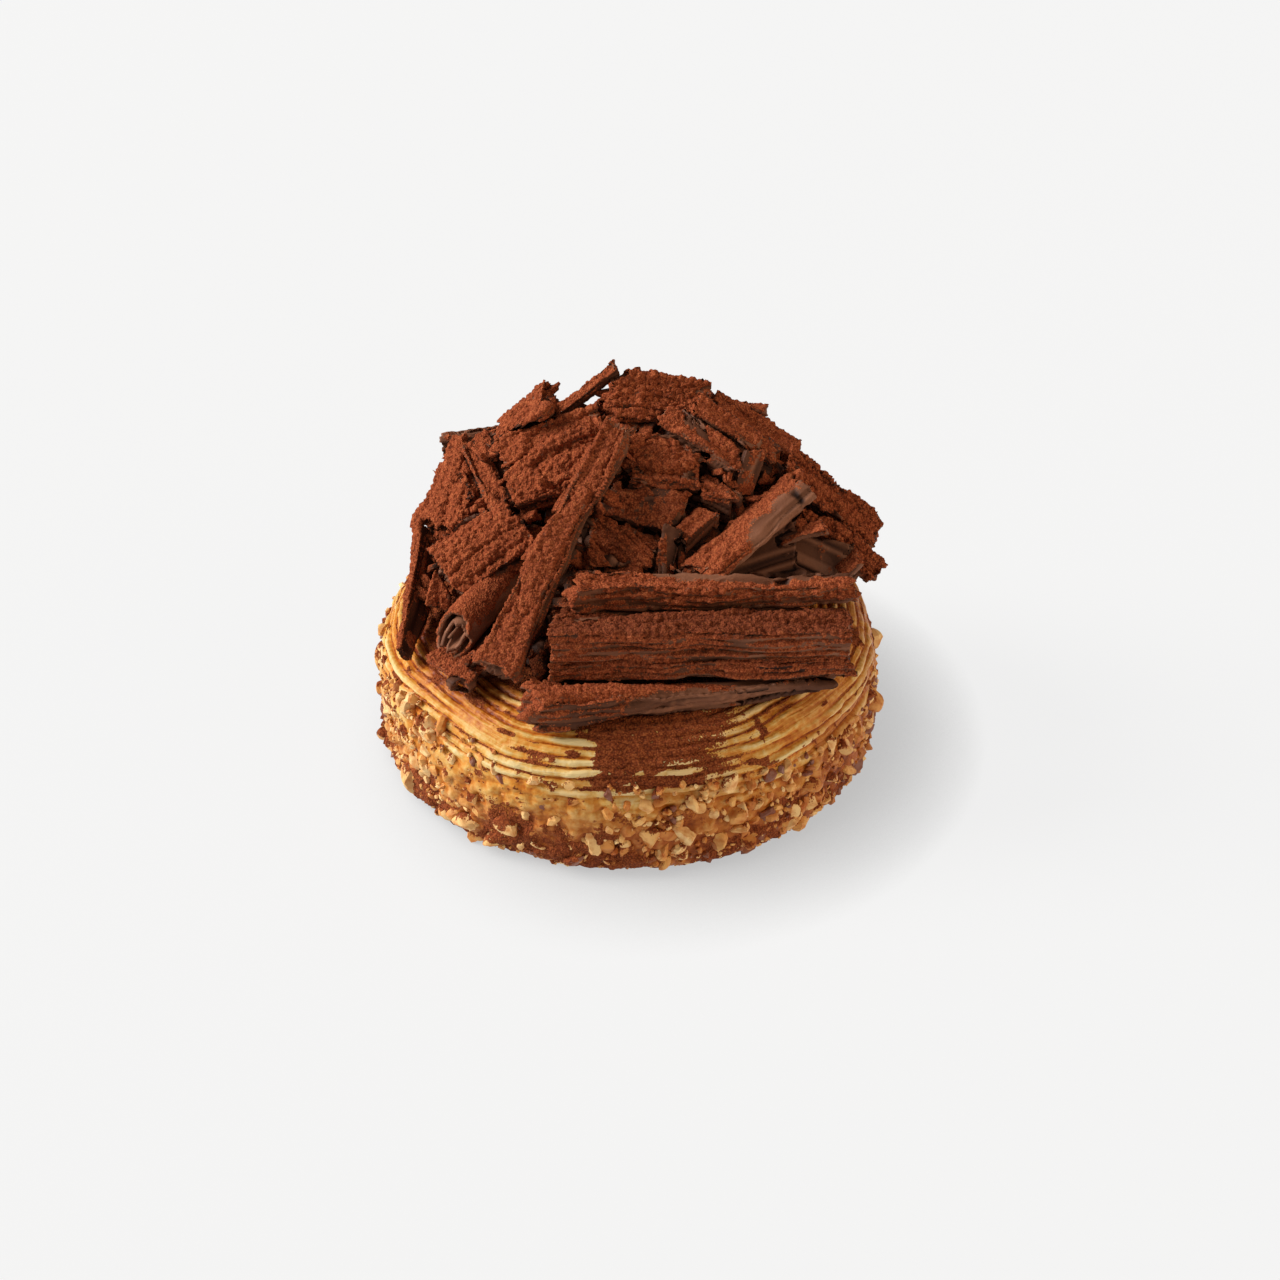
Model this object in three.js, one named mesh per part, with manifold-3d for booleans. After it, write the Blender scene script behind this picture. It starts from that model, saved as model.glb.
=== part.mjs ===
// A round croissant baked in a ring, its side coated with chopped nuts and its top heaped with
// flaky chocolate bark. Millimetres, +Z up, the front towards -Y, base centred on the origin.
import * as THREE from "three";
import { mergeVertices } from "three/addons/utils/BufferGeometryUtils.js";
import Module from "manifold-3d";

const wasm = await Module();
wasm.setup();
const { Manifold, Mesh: SolidMesh } = wasm;

// Driving dimensions of the pastry
const PASTRY_HEIGHT = 31;
const BODY_RADIUS = 49.6;
const BASE_ROUNDING = 5.5;
const SHOULDER_ROUNDING = 10;
const RIDGE_START = -4.5;
const RIDGE_PITCH = 2.8;
const RIDGE_DEPTH = 0.9;
const RIDGE_COUNT = 12;
const PASTRY_SEGMENTS = 54;

// Driving dimensions of the chopped nuts on the side
const NUT_COUNT = 80;
const LARGE_NUT_COUNT = 28;
const LARGE_NUT_RADIUS = 2.3;
const SMALL_NUT_RADIUS = 1.6;
const NUT_BAND_LOW = 3;
const NUT_BAND_HIGH = 17;

// Driving dimensions of the heap
const CLEARANCE = 0.4;
const CORE_RADIUS = 34;
const CORE_HEIGHT = 30;
const CORE_LEAN = 16;
const CORE_CENTRE = [0, 3];
const CORE_SEGMENTS = 18;

const CRUST_COLOUR = 0xd79a4e;
const BARK_COLOUR = 0x7a4526;
const CORE_COLOUR = 0x3a1f14;

// Bark pieces, from the ones on top to the ones they lie on: the two ends of each piece, its
// width and thickness, and its turn about its own length in degrees.
const BARK = [
  // The crown
  { name: "stick_top", from: [-16, 19.2, 60.5], to: [-1.5, 23, 71.5], width: 2.6, thickness: 2.4, roll: 20 },
  { name: "slab_top", from: [-3.5, 19.5, 65.6], to: [17, 20.5, 63],
    width: 15, thickness: 6, roll: 32, layers: 3, taper: [1, 0.85] },
  { name: "plank_long", from: [-25, -32.5, 35.5], to: [-1, 9.5, 67],
    width: 8, thickness: 4.8, roll: 12, layers: 3, taper: [1.2, 0.75] },
  { name: "slab_top_left", from: [-24.5, 7.8, 54.3], to: [-2, 11.8, 60.8],
    width: 17, thickness: 5, roll: 28, layers: 2 },
  { name: "slab_centre_top", from: [-0.5, 8.5, 58.5], to: [15, 8.5, 57.5],
    width: 14, thickness: 6, roll: 25, layers: 2 },
  { name: "blade_upright", from: [22.5, 3, 53], to: [25, 8, 61], width: 4.5, thickness: 1.6, roll: 50 },
  { name: "rod_right_front", from: [5.5, 15, 63.5], to: [23.5, 5.5, 56.5],
    width: 6.5, thickness: 5, roll: 10, layers: 2 },
  { name: "rod_right_middle", from: [12, 17, 65], to: [28, 10, 57],
    width: 6, thickness: 5, roll: 8, layers: 2 },
  { name: "rod_right_back", from: [15, 22.5, 63], to: [34, 18.5, 53], width: 5, thickness: 5, roll: 10 },
  { name: "plate_back_right", from: [12, 23.5, 60], to: [27, 20.5, 58.5],
    width: 9, thickness: 4, roll: 20, layers: 2 },
  { name: "block_left_top", from: [-25, 21, 55.5], to: [-15, 20.5, 64.5],
    width: 13, thickness: 5, roll: -5, layers: 2 },
  { name: "wedge_left", from: [-31.5, 21, 56.5], to: [-20.5, 5.5, 51],
    width: 13, thickness: 3.4, roll: 12, taper: [0.5, 1] },
  { name: "plate_left_back", from: [-38, 24, 51], to: [-12, 25, 55],
    width: 8, thickness: 4, roll: 30, layers: 2 },

  // The middle of the front
  { name: "slab_centre", from: [-3.5, 4, 54.5], to: [10.5, -1.2, 51.3],
    width: 10.5, thickness: 6, roll: 48, layers: 2 },
  { name: "slab_centre_right", from: [8, 9, 56.5], to: [22.5, 2.5, 52.5],
    width: 11, thickness: 7, roll: 5, layers: 3 },
  { name: "curl_right", from: [12.5, -13.5, 46], to: [33.5, 4, 57],
    width: 11, thickness: 2.2, roll: -10, curl: 6 },
  { name: "strip_right", from: [9.5, -7, 48.5], to: [25, 5, 56], width: 4.5, thickness: 3, roll: 10 },
  { name: "flake_centre", from: [6.5, -11, 43.5], to: [9.2, -6.5, 52.5],
    width: 3.6, thickness: 1.4, roll: 30 },
  { name: "block_centre", from: [-8, -4, 45.5], to: [10.5, -5, 44.5],
    width: 14, thickness: 9, roll: 35, layers: 3 },

  // The right flank
  { name: "flake_right_low", from: [41.5, -6.8, 41], to: [45.2, -6.6, 45.8],
    width: 3.6, thickness: 1.4, roll: 20 },
  { name: "slab_right", from: [29.5, 10.5, 56], to: [49.6, 8.9, 39.4],
    width: 6.6, thickness: 4, roll: 25, layers: 2, taper: [1.4, 1] },
  { name: "slab_right_front", from: [33.5, 6.8, 50.3], to: [49.4, -0.9, 36.5],
    width: 6, thickness: 3.6, roll: 25, layers: 2, taper: [1.1, 1] },
  { name: "splinter_right", from: [29.5, -6, 48.5], to: [38.7, -3.8, 51],
    width: 3.4, thickness: 2, taper: [0.6, 1.1] },
  { name: "sheet_right", from: [15, -7, 46.5], to: [33.5, -6, 47.2],
    width: 11, thickness: 1.8, roll: 55, curl: -12 },
  { name: "sheet_right_low", from: [30, -4, 43], to: [44.5, -3.5, 41],
    width: 10, thickness: 1.6, roll: 45 },

  // The left flank
  { name: "curl_left", from: [-37, -7.5, 42.5], to: [-21, 0.5, 51],
    width: 16, thickness: 5.5, roll: 8, layers: 2, curl: 12 },
  { name: "slab_left", from: [-36, 6, 43], to: [-28, 18, 56],
    width: 16, thickness: 3.6, roll: -10, curl: 20 },
  { name: "quill_left", from: [-32, -20.5, 37.3], to: [-17, 2, 43.5],
    width: 9.2, thickness: 1.1, quill: true },
  { name: "blade_left", from: [-43, -21, 30.5], to: [-40, 10, 40.5],
    width: 8.5, thickness: 2, roll: 60, taper: [0.6, 1] },
  { name: "flake_left", from: [-37.5, -10.5, 35.5], to: [-35, -8, 43.5],
    width: 5, thickness: 1.6, roll: 40 },
  { name: "flap_left", from: [-36.5, -20.5, 33.2], to: [-27.5, -29.5, 33.2], width: 8, thickness: 1.8 },
  { name: "fragment_left", from: [-32, -32.5, 33], to: [-27.5, -25, 34.5], width: 4.6, thickness: 3.6 },

  // The logs at the front
  { name: "log_front_high", from: [-11, -20, 47], to: [44.5, -18.5, 45.8],
    width: 8, thickness: 6, layers: 3, taper: [1, 0.7] },
  { name: "log_front", from: [-16, -28, 39.5], to: [44, -26.5, 39.5],
    width: 13, thickness: 9.5, roll: -8, layers: 3 },
  { name: "log_front_low", from: [-18.5, -41, 34], to: [38.5, -30.5, 33],
    width: 8, thickness: 6.5, layers: 2, taper: [1, 0.55] },

  // The back
  { name: "log_back", from: [-28, 37.5, 36], to: [30, 38.5, 36],
    width: 10, thickness: 8, roll: 10, layers: 3 },
  { name: "log_back_left", from: [-41, 9, 34.8], to: [-27, 30, 34.8], width: 8, thickness: 6, layers: 2 },
  { name: "rod_back", from: [-12, 35, 44], to: [20, 31, 50],
    width: 7, thickness: 4.5, roll: 35, layers: 2 },
  { name: "stick_back", from: [-24, 36, 43], to: [2, 30.5, 58], width: 3.6, thickness: 3 },
  { name: "slab_back_middle", from: [-5, 42, 41], to: [1, 25, 62],
    width: 16, thickness: 4.5, roll: 5, layers: 2 },
  { name: "slab_back_left", from: [-30, 32, 39], to: [-12, 25, 58],
    width: 16, thickness: 4, roll: -10, layers: 2 },
  { name: "slab_back_right", from: [25, 37, 41], to: [11, 25, 60], width: 15, thickness: 4, layers: 2 },
  { name: "plate_back_low", from: [-40, 20, 40], to: [-22, 22, 52],
    width: 13, thickness: 3.6, roll: -15, layers: 2 },
  { name: "plate_right_low", from: [46, 15, 35], to: [28, 23, 52],
    width: 14, thickness: 4, roll: 10, layers: 2 },
  { name: "block_right_low", from: [41, 1, 36], to: [38, 26, 36],
    width: 9, thickness: 8, roll: 15, layers: 2 },
  { name: "plank_right_low", from: [38, 27, 34.5], to: [22, 31, 50],
    width: 10, thickness: 4, roll: 5, layers: 2 },
];

// Seeded numbers between 0 and 1
function makeRandom(seed) {
  let state = seed >>> 0;
  return () => {
    state = (state + 0x6d2b79f5) >>> 0;
    let mixed = Math.imul(state ^ (state >>> 15), state | 1);
    mixed ^= mixed + Math.imul(mixed ^ (mixed >>> 7), mixed | 61);
    return ((mixed ^ (mixed >>> 14)) >>> 0) / 4294967296;
  };
}

// A closed solid from a geometry, its shared corners joined and its empty triangles dropped
function toSolid(geometry) {
  const bare = new THREE.BufferGeometry();
  bare.setAttribute("position", geometry.attributes.position.clone());
  if (geometry.index) bare.setIndex(geometry.index.clone());
  const joined = mergeVertices(bare, 1e-4);
  const corners = [];
  for (let i = 0; i < joined.index.count; i += 3) {
    const [a, b, c] = [joined.index.getX(i), joined.index.getX(i + 1), joined.index.getX(i + 2)];
    if (a !== b && b !== c && c !== a) corners.push(a, b, c);
  }
  return new Manifold(new SolidMesh({
    numProp: 3,
    vertProperties: new Float32Array(joined.attributes.position.array),
    triVerts: new Uint32Array(corners),
  }));
}

function toGeometry(solid) {
  const { vertProperties, triVerts } = solid.getMesh();
  const geometry = new THREE.BufferGeometry();
  geometry.setAttribute("position", new THREE.Float32BufferAttribute(vertProperties, 3));
  geometry.setIndex(new THREE.Uint32BufferAttribute(triVerts, 1));
  geometry.computeVertexNormals();
  return geometry;
}

function largestBody(solid) {
  return solid.decompose().reduce((best, body) => (body.volume() > best.volume() ? body : best));
}

function makeMesh(name, geometry, colour) {
  const material = new THREE.MeshStandardMaterial({ color: colour, roughness: 0.8, flatShading: true });
  const mesh = new THREE.Mesh(geometry, material);
  mesh.name = name;
  return mesh;
}

// A turned form standing on +Z, made from a profile of radius and height
function turned(profile, segments) {
  return new THREE.LatheGeometry(profile, segments).rotateX(Math.PI / 2);
}

// A point on the smooth outline of the pastry, by its distance along it from the top of the wall
function shoulderPoint(distance, sink) {
  const arc = (Math.PI / 2) * SHOULDER_ROUNDING;
  const angle = THREE.MathUtils.clamp(distance, 0, arc) / SHOULDER_ROUNDING;
  const inward = Math.max(distance - arc, 0);
  const down = Math.min(distance, 0);
  const reach = SHOULDER_ROUNDING - sink;
  return new THREE.Vector2(
    BODY_RADIUS - SHOULDER_ROUNDING + reach * Math.cos(angle) - inward,
    PASTRY_HEIGHT - SHOULDER_ROUNDING + reach * Math.sin(angle) + down,
  );
}

// Outline of the pastry: flat base, rounded foot, wall, and the edges of the rolled layers as ridges
function pastryProfile() {
  const points = [new THREE.Vector2(0, 0)];
  for (const turn of [0, 30, 60, 90]) {
    const angle = THREE.MathUtils.degToRad(turn);
    const radius = BODY_RADIUS - BASE_ROUNDING + BASE_ROUNDING * Math.sin(angle);
    points.push(new THREE.Vector2(radius, BASE_ROUNDING - BASE_ROUNDING * Math.cos(angle)));
  }
  points.push(shoulderPoint(RIDGE_START - 1.5, 0));
  for (let ridge = 0; ridge < RIDGE_COUNT; ridge += 1) {
    points.push(shoulderPoint(RIDGE_START + ridge * RIDGE_PITCH, RIDGE_DEPTH));
    points.push(shoulderPoint(RIDGE_START + (ridge + 0.5) * RIDGE_PITCH, 0));
  }
  points.push(new THREE.Vector2(0, PASTRY_HEIGHT - RIDGE_DEPTH));
  return points;
}

// Uneven baking: the wall is a little out of round, and the ridges wander and swell
function bakeUneven(geometry) {
  const position = geometry.attributes.position;
  for (let i = 0; i < position.count; i += 1) {
    const [x, y, z] = [position.getX(i), position.getY(i), position.getZ(i)];
    const angle = Math.atan2(y, x);
    const rise = z / PASTRY_HEIGHT;
    const swell = 0.35 * Math.sin(3 * angle + 1) + 0.25 * Math.sin(5 * angle - 2 * rise);
    const wander = rise > 0.6 ? 0.4 * Math.sin(7 * angle + 4 * rise) : 0;
    const radius = Math.hypot(x, y);
    const scale = radius > 1 ? (radius + (swell + wander) * Math.min(rise * 3, 1)) / radius : 1;
    const sag = z > 1 ? 0.12 * rise * (Math.sin(2 * angle + 0.6) + Math.sin(6 * angle) - 2) : 0;
    position.setXYZ(i, x * scale, y * scale, z + sag);
  }
  return geometry;
}

// One chopped nut, flattened and turned at random, half sunk in the wall
function nutGeometry(index, random) {
  const isLarge = index < LARGE_NUT_COUNT;
  const size = (isLarge ? LARGE_NUT_RADIUS : SMALL_NUT_RADIUS) * (0.8 + 0.4 * random());
  const angle = THREE.MathUtils.degToRad(index * 137.508);
  const share = (index * 0.754878 + 0.1 * random()) % 1;
  const height = THREE.MathUtils.lerp(NUT_BAND_LOW, NUT_BAND_HIGH, share);
  const foot = Math.max(BASE_ROUNDING - height, 0);
  const radius = BODY_RADIUS - BASE_ROUNDING + Math.sqrt(BASE_ROUNDING ** 2 - foot ** 2) - 0.25 * size;
  const nut = new THREE.IcosahedronGeometry(size, 0);
  nut.scale(1, 0.85, 0.62);
  nut.rotateX(random() * Math.PI).rotateY(random() * Math.PI).rotateZ(random() * Math.PI);
  return nut.translate(radius * Math.cos(angle), radius * Math.sin(angle), height);
}

function makePastry() {
  const random = makeRandom(7);
  const solids = [toSolid(bakeUneven(turned(pastryProfile(), PASTRY_SEGMENTS)))];
  for (let index = 0; index < NUT_COUNT; index += 1) {
    solids.push(toSolid(nutGeometry(index, random)));
  }
  return makeMesh("pastry", toGeometry(largestBody(Manifold.union(solids))), CRUST_COLOUR);
}

// The room the pastry takes, which the bark lies on
function pastryRoom() {
  const margin = new THREE.Vector2(0.8, CLEARANCE);
  const profile = [new THREE.Vector2(0, 0), new THREE.Vector2(BODY_RADIUS + margin.x, 0)];
  for (let step = 0; step <= 6; step += 1) {
    profile.push(shoulderPoint((step / 6) * (Math.PI / 2) * SHOULDER_ROUNDING, 0).add(margin));
  }
  profile.push(new THREE.Vector2(0, PASTRY_HEIGHT + CLEARANCE));
  return toSolid(turned(profile, PASTRY_SEGMENTS));
}

// The mound of broken bark under the large pieces, leaning back so that the front slopes gently
function coreGeometry(grow) {
  const base = PASTRY_HEIGHT + CLEARANCE - grow;
  const profile = [new THREE.Vector2(0, base), new THREE.Vector2(CORE_RADIUS + 2 * grow, base)];
  for (const [out, up] of [[0.8, 0.2], [0.48, 0.48], [0.24, 0.76], [0.1, 0.95]]) {
    profile.push(new THREE.Vector2(CORE_RADIUS * out + grow, PASTRY_HEIGHT + CORE_HEIGHT * up + grow));
  }
  profile.push(new THREE.Vector2(0, PASTRY_HEIGHT + CORE_HEIGHT + grow));
  const lean = new THREE.Matrix4().makeShear(0, 0, 0, 0, 0, CORE_LEAN / CORE_HEIGHT);
  const mound = turned(profile, CORE_SEGMENTS).translate(0, 0, -PASTRY_HEIGHT).applyMatrix4(lean);
  return mound.translate(CORE_CENTRE[0], CORE_CENTRE[1], PASTRY_HEIGHT);
}

// Cross-section of a piece of bark: layers stacked upwards, each ending at its own ledge
function barkSection(piece, random, grow) {
  const { width, thickness, layers = 1 } = piece;
  const across = piece.curl ? 6 : 2;
  const half = width / 2 + grow;
  const top = thickness / 2 + grow;
  const count = grow ? 1 : layers;
  const ledge = grow || layers === 1 ? 0 : Math.min(0.16 * width, 2.2);
  const sides = [];
  for (let layer = 0; layer < count; layer += 1) {
    sides.push([half - ledge * random(), half - ledge * random()]);
  }
  const heights = sides.map((_, layer) => -top + (2 * top * layer) / count).concat(top);
  const points = [];
  for (let step = 1; step < across; step += 1) {
    points.push(new THREE.Vector2(-half + (2 * half * step) / across, -top));
  }
  sides.forEach(([right], layer) => {
    points.push(new THREE.Vector2(right, heights[layer]), new THREE.Vector2(right, heights[layer + 1]));
  });
  for (let step = across - 1; step > 0; step -= 1) {
    const crown = grow ? 0 : 0.08 * thickness * (random() - 1);
    points.push(new THREE.Vector2(-half + (2 * half * step) / across, top + crown));
  }
  for (let layer = count - 1; layer >= 0; layer -= 1) {
    const left = -sides[layer][1];
    points.push(new THREE.Vector2(left, heights[layer + 1]), new THREE.Vector2(left, heights[layer]));
  }
  return points.map((point) => curlPoint(point, piece.curl));
}

// Bends a section about an axis along the piece, a positive radius turning both edges down
function curlPoint(point, radius) {
  if (!radius) return point;
  const angle = point.x / radius;
  const reach = radius + point.y;
  return new THREE.Vector2(reach * Math.sin(angle), reach * Math.cos(angle) - radius);
}

// Cross-section of a rolled quill: one sheet wound inwards, or the full round when it is grown
function quillSection(piece, grow) {
  const outer = piece.width / 2;
  const points = [];
  if (grow) {
    for (let step = 0; step < 12; step += 1) {
      const angle = (step / 12) * 2 * Math.PI;
      points.push(new THREE.Vector2((outer + grow) * Math.cos(angle), (outer + grow) * Math.sin(angle)));
    }
    return points;
  }
  const steps = 16;
  const rim = (step, inset) => {
    const angle = 0.6 + (step / steps) * 3.3 * Math.PI;
    const reach = outer - inset - (step / steps) * 2.6;
    return new THREE.Vector2(reach * Math.cos(angle), reach * Math.sin(angle));
  };
  for (let step = 0; step <= steps; step += 1) points.push(rim(step, 0));
  for (let step = steps; step >= 0; step -= 1) points.push(rim(step, piece.thickness));
  return points;
}

// A whole number of its own for each piece, from the letters of its name
function nameSeed(name) {
  return [...name].reduce((seed, letter) => (seed * 31 + letter.charCodeAt(0)) % 9973, 7);
}

// A repeatable number between 0 and 1 for a corner of a section
function cornerNoise(x, y, salt) {
  const value = Math.sin(x * 12.9898 + y * 78.233 + salt * 37.719) * 43758.5453;
  return value - Math.floor(value);
}

// Sweeps a section along a piece of bark, which tapers, bows and breaks off unevenly at both ends
function barkGeometry(piece, grow) {
  const seed = nameSeed(piece.name);
  const random = makeRandom(seed);
  const arch = random() - 0.35;
  const section = piece.quill ? quillSection(piece, grow) : barkSection(piece, random, grow);
  const length = new THREE.Vector3(...piece.to).distanceTo(new THREE.Vector3(...piece.from)) + 2 * grow;
  const steps = Math.max(2, Math.round(length / 13));
  const geometry = new THREE.ExtrudeGeometry(new THREE.Shape(section), {
    depth: length, steps, bevelEnabled: false,
  });
  const [first, last] = (piece.taper ?? [1, 1]).map((end) => (grow ? end + 0.1 : end));
  const bow = 0.03 * length * arch;
  const position = geometry.attributes.position;
  for (let i = 0; i < position.count; i += 1) {
    const [x, y, along] = [position.getX(i), position.getY(i), position.getZ(i)];
    const share = along / length;
    const scale = THREE.MathUtils.lerp(first, last, share);
    const sway = 0.25 * Math.sin(share * 9 + seed);
    let reach = along - length / 2;
    if (!grow && (share < 0.001 || share > 0.999)) {
      reach -= Math.sign(reach) * Math.min(0.06 * length, 2.5) * cornerNoise(x, y, seed + share);
    }
    position.setXYZ(i, x * scale + sway, y * scale + bow * 4 * share * (1 - share), reach);
  }
  return geometry;
}

// Where a piece of bark lies: its length runs from one end to the other, its width starts level
function barkPlace(piece) {
  const from = new THREE.Vector3(...piece.from);
  const to = new THREE.Vector3(...piece.to);
  const along = to.clone().sub(from).normalize();
  const level = new THREE.Vector3(0, 0, 1).cross(along).normalize();
  const upright = along.clone().cross(level);
  const turn = new THREE.Matrix4().makeBasis(level, upright, along);
  turn.multiply(new THREE.Matrix4().makeRotationZ(THREE.MathUtils.degToRad(piece.roll ?? 0)));
  return turn.setPosition(from.add(to).multiplyScalar(0.5));
}

// Each piece is fitted against the pieces above it, the mound and the pastry, with a small gap
function makeBark() {
  const rooms = [pastryRoom(), toSolid(coreGeometry(1.5 * CLEARANCE))];
  return BARK.map((piece) => {
    const place = barkPlace(piece);
    const whole = toSolid(barkGeometry(piece, 0).applyMatrix4(place));
    const fitted = largestBody(Manifold.difference([whole, ...rooms]));
    rooms.push(toSolid(barkGeometry(piece, CLEARANCE).applyMatrix4(place)));
    const mesh = makeMesh(piece.name, toGeometry(fitted).applyMatrix4(place.clone().invert()), BARK_COLOUR);
    mesh.applyMatrix4(place);
    return mesh;
  });
}

const croissant = new THREE.Group();
croissant.name = "chocolate_croissant";
croissant.add(makePastry());
croissant.add(makeMesh("heap_core", toGeometry(toSolid(coreGeometry(0))), CORE_COLOUR));
croissant.add(...makeBark());

export default croissant;
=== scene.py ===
"""Studio scene of a round chocolate croissant: a laminated pastry with a nut-coated side, under a heap
of flaky chocolate bark dusted with cocoa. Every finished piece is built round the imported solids."""
import math

import bmesh
import bpy
import numpy as np
from mathutils import Matrix, Vector
from mathutils.bvhtree import BVHTree


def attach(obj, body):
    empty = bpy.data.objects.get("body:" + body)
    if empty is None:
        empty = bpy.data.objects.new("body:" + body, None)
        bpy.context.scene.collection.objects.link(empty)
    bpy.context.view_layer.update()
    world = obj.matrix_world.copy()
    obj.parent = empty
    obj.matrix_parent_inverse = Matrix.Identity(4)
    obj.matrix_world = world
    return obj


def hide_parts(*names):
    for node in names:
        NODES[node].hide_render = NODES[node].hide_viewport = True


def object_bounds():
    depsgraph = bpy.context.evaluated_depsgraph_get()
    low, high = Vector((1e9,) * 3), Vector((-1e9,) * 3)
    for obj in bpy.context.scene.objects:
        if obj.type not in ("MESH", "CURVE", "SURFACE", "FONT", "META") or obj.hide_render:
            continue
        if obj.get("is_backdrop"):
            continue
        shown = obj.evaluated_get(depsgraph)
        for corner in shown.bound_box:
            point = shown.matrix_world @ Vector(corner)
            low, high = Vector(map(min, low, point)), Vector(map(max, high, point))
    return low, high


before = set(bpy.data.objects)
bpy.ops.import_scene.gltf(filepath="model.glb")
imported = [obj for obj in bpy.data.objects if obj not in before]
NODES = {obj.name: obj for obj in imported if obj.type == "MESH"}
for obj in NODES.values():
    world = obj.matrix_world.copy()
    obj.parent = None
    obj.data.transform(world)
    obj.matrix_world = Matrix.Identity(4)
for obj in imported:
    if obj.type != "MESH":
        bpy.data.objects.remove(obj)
CAD_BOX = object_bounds()
MM = 0.001

# Driving sizes of the pastry, in millimetres
PASTRY_HEIGHT = 31.0
BODY_RADIUS = 49.6
BASE_ROUNDING = 5.5
SHOULDER_ROUNDING = 10.0
RIDGE_START = -4.5
RIDGE_PITCH = 2.2
RIDGE_DEPTH = 1.0
TOP_INNER_RADIUS = 16.0
PASTRY_STEP = 0.31
PASTRY_COLUMNS = 460
LAYER_LINE = 14
DOUGH_SPECKLE = 1.1

# Lengths along the pastry's outline that follow from these
FOOT_ARC = math.pi / 2 * BASE_ROUNDING
WALL_LENGTH = PASTRY_HEIGHT - SHOULDER_ROUNDING - BASE_ROUNDING
SHOULDER_ARC = math.pi / 2 * SHOULDER_ROUNDING

# Two wide pale folds that show smooth dough, one at the front left and one at the right: the direction of
# the middle in degrees, its distance along the outline, half its length and half its width in millimetres
PALE_FOLDS = ((236, 7.6, 11, 1.8), (321, 6.4, 13, 2.6))
FOLD_RADIUS = 47

# Driving sizes of the chopped nuts, in millimetres
NUT_COUNT = 80
LARGE_NUT_COUNT = 28
LARGE_NUT_RADIUS = 2.3
SMALL_NUT_RADIUS = 1.6
NUT_BAND = (3.0, 17.0)
CHIP_COUNT = 420
CHIP_RADIUS = (1.2, 2.7)
CRUMB_COUNT = 1500
CRUMB_RADIUS = (0.5, 1.2)
CRUMB_BAND = (1.4, 20.0)
NUT_MOTTLE = 1.6

# How the chopped nuts are spread: the turn to the next one in degrees, its share of the band's height, and
# the direction in which the coat reaches highest
NEXT_NUT_TURN = 137.508
NEXT_NUT_RISE = 0.754878
COAT_HIGHEST = math.radians(215)

# Driving sizes of the bark, in millimetres
BARK_VOXEL = 0.3
CORE_VOXEL = 0.6
LAYER_PITCH = 1.3
LEDGE = 0.85
LAYER_GAP = 0.7
RAGGED_END = 1.7
RIM_WEAR = 0.9
GRANULE = 0.85
POWDER_GRAIN = 0.4
POWDER_CLUMP = 1.1
FRAGMENT_COUNT = 420
FRAGMENT_LENGTH = (3.5, 9.0)
FRAGMENT_WIDTH = (2.2, 4.8)
FRAGMENT_THICKNESS = (0.8, 1.9)
SHARD_COUNT = 160
SHARD_SHARE = 0.6

# Driving sizes of the rolled sheet on the left, in millimetres, and the angle in radians where it starts
QUILL_MOUTH = np.array([-33.2, -21.6, 36.9])
QUILL_END = np.array([-17.0, 2.0, 43.5])
QUILL_RADII = (0.9, 5.2)
QUILL_TURNS = 2.5
QUILL_SHEET = 0.75
QUILL_SLANT = 2.4
QUILL_START = 2.4

# Where the cocoa fell from: above, and a little from the left and the front
DUST_FROM = np.array([-0.42, -0.1, 0.9])
DUST_FROM /= np.linalg.norm(DUST_FROM)
DUST_RAYS = ((0, 0, 1), (-0.45, 0, 0.9), (0.35, 0, 0.94), (0, -0.4, 0.92), (0, 0.4, 0.92))

# Ways in which a gap in the heap can be seen into, and the part of the heap that is looked into, in
# millimetres: half its width, its foot and its rise
GAP_RAYS = (
    (0, 0, 1), (0, -0.8, 0.6), (-0.7, -0.4, 0.6), (0.7, -0.4, 0.6), (0.6, 0.6, 0.5), (-0.6, 0.6, 0.5),
)
LOOK_REACH = 40
LOOK_FOOT = 33
LOOK_RISE = 28

# Larger broken plates deep in the heap, behind the curl at the right and low at the back: the way they
# face with their places in millimetres, and their size as a share of a fragment's
DEEP_PLATES = {
    (0.1, -0.7, 0.7): ((22, 11, 44), (24, 12, 47), (27, 12, 49), (29, 11, 46), (26, 13, 43), (20, 10, 48),
                       (31, 10, 50)),
    (0.1, 0.8, 0.6): ((15, 24, 37), (10, 25, 37), (5, 26, 37), (0, 25, 38), (13, 22, 41), (7, 23, 42),
                      (2, 22, 42), (18, 22, 39)),
}
DEEP_SHARE = 1.7

# How much of the cocoa each piece kept: 1 where not given, and more where it clings to the sides too
DUST_KEPT = {
    "log_front": 1.2, "log_front_high": 1.12, "log_front_low": 0.85,
    "plank_long": 1.1, "slab_top": 1.3, "slab_top_left": 1.25, "block_left_top": 1.2, "plate_left_back": 0.6,
    "slab_centre_top": 1.25, "slab_centre": 0.6, "blade_upright": 0.45, "flake_centre": 0.4,
    "slab_right": 1.25, "slab_right_front": 1.25, "flake_right_low": 0.7,
    "sheet_right": 0.05, "sheet_right_low": 0.3,
    "curl_left": 1.25, "slab_left": 1.2, "fragment_left": 0.7,
}

# Painted shade: how far the cocoa on top of a piece is darkened where the heap shades it: 0 where not given
PAINTED_SHADE_ON_TOPS = {"log_front": 0.42, "plank_long": 0.12, "slab_centre": 0.15}

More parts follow.
